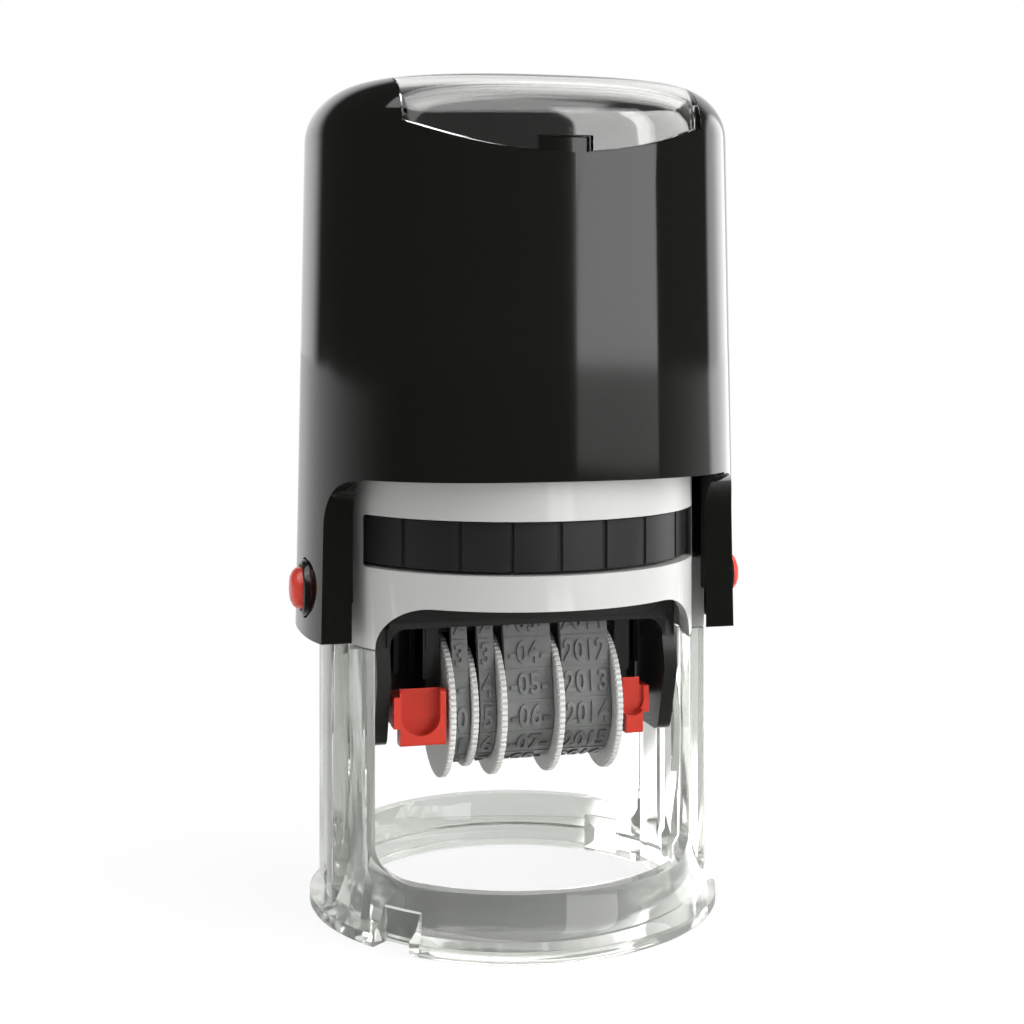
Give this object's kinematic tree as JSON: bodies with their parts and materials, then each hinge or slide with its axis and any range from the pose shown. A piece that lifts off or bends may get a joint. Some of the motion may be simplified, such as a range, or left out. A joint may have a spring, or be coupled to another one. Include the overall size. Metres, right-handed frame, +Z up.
{
  "type": "self-inking date stamp",
  "caption": "Round self-inking date stamp: black push cap on a clear base, turning print unit with thumb wheels and date bands, slide-out ink pad and lock buttons.",
  "frame": {"origin": "on the desk, under the middle of the foot ring", "axes": "+Z up, front facing -Y, the lock buttons and the wheels' axle along X"},
  "size_m": [0.082, 0.0728, 0.1454],
  "materials": {
    "clear": "clear smoky moulded plastic",
    "silver": "silver-grey fine-grained plastic",
    "black_gloss": "glossy black moulded plastic",
    "black_matte": "matte black moulded plastic",
    "red": "glossy red moulded plastic",
    "band_rubber": "grey moulded rubber",
    "die_rubber": "dark moulded rubber",
    "wheel_plastic": "light grey moulded plastic",
    "felt": "felt soaked with ink",
    "steel": "bright drawn steel",
    "card": "plain card"
  },
  "bodies": {
    "base": {"clear_base": "clear", "silver_frame": "silver", "spring_guide": "black_matte"},
    "cap": {"cap_shell": "black_gloss", "index_card": "card", "button_bezel_left": "black_matte", "button_bezel_right": "black_matte", "return_spring": "steel"},
    "index_cover": {"index_window": "clear"},
    "button_left": {"lock_button_left": "red"},
    "button_right": {"lock_button_right": "red"},
    "print_unit": {"plate_yoke": "black_gloss", "date_frame": "black_matte", "die_backing": "black_matte", "text_die": "die_rubber", "wheel_axle": "steel", "trunnion_pin_left": "steel", "trunnion_pin_right": "steel", "cam_pin_left": "steel", "cam_pin_right": "steel", "day_tens_band": "band_rubber", "day_units_band": "band_rubber", "month_band": "band_rubber", "year_band": "band_rubber"},
    "day_tens": {"day_tens_wheel": "wheel_plastic"},
    "day_units": {"day_units_wheel": "wheel_plastic"},
    "month": {"month_wheel": "wheel_plastic"},
    "year": {"year_wheel": "wheel_plastic"},
    "clip_left": {"red_clip_left": "red"},
    "clip_right": {"red_clip_right": "red"},
    "pad_cassette": {"pad_tray": "black_matte", "ink_pad": "felt"}
  },
  "joints": [
    {"name": "cap_press", "type": "slide", "parent": "base", "child": "cap", "axis": [0, 0, -1], "range_m": [0, 0.0455], "stiffness_N_per_m": 140, "springref_m": -0.035, "deforming": ["return_spring"]},
    {"name": "unit_turn", "type": "hinge", "parent": "cap", "child": "print_unit", "pos_m": [0, 0, 0.0515], "axis": [-1, 0, 0], "range_deg": [0, 180]},
    {"name": "index_cover_lift", "type": "slide", "parent": "cap", "child": "index_cover", "axis": [0, 0, 1], "range_m": [0, 0.02]},
    {"name": "lock_button_left_press", "type": "slide", "parent": "cap", "child": "button_left", "axis": [1, 0, 0], "range_m": [0, 0.0014], "stiffness_N_per_m": 400, "springref_m": -0.002},
    {"name": "lock_button_right_press", "type": "slide", "parent": "cap", "child": "button_right", "axis": [-1, 0, 0], "range_m": [0, 0.0014], "stiffness_N_per_m": 400, "springref_m": -0.002},
    {"name": "pad_tray_slide", "type": "slide", "parent": "base", "child": "pad_cassette", "axis": [0, 1, 0], "range_m": [-0.06, 0]},
    {"name": "clip_left_swing", "type": "hinge", "parent": "print_unit", "child": "clip_left", "pos_m": [0, -0.0049, 0.037], "axis": [-1, 0, 0], "range_deg": [0, 12], "stiffness_Nm_per_rad": 0.02, "springref_deg": -5.73},
    {"name": "clip_right_swing", "type": "hinge", "parent": "print_unit", "child": "clip_right", "pos_m": [0, -0.0049, 0.037], "axis": [-1, 0, 0], "range_deg": [0, 12], "stiffness_Nm_per_rad": 0.02, "springref_deg": -5.73},
    {"name": "day_tens_turn", "type": "hinge", "parent": "print_unit", "child": "day_tens", "pos_m": [0, 0, 0.035], "axis": [1, 0, 0], "continuous": true},
    {"name": "day_units_turn", "type": "hinge", "parent": "print_unit", "child": "day_units", "pos_m": [0, 0, 0.035], "axis": [1, 0, 0], "continuous": true},
    {"name": "month_turn", "type": "hinge", "parent": "print_unit", "child": "month", "pos_m": [0, 0, 0.035], "axis": [1, 0, 0], "continuous": true},
    {"name": "year_turn", "type": "hinge", "parent": "print_unit", "child": "year", "pos_m": [0, 0, 0.035], "axis": [1, 0, 0], "continuous": true}
  ],
  "couplings": [
    {"joint": "unit_turn", "follows": "cap_press", "rad_per_m": 69.04}
  ]
}
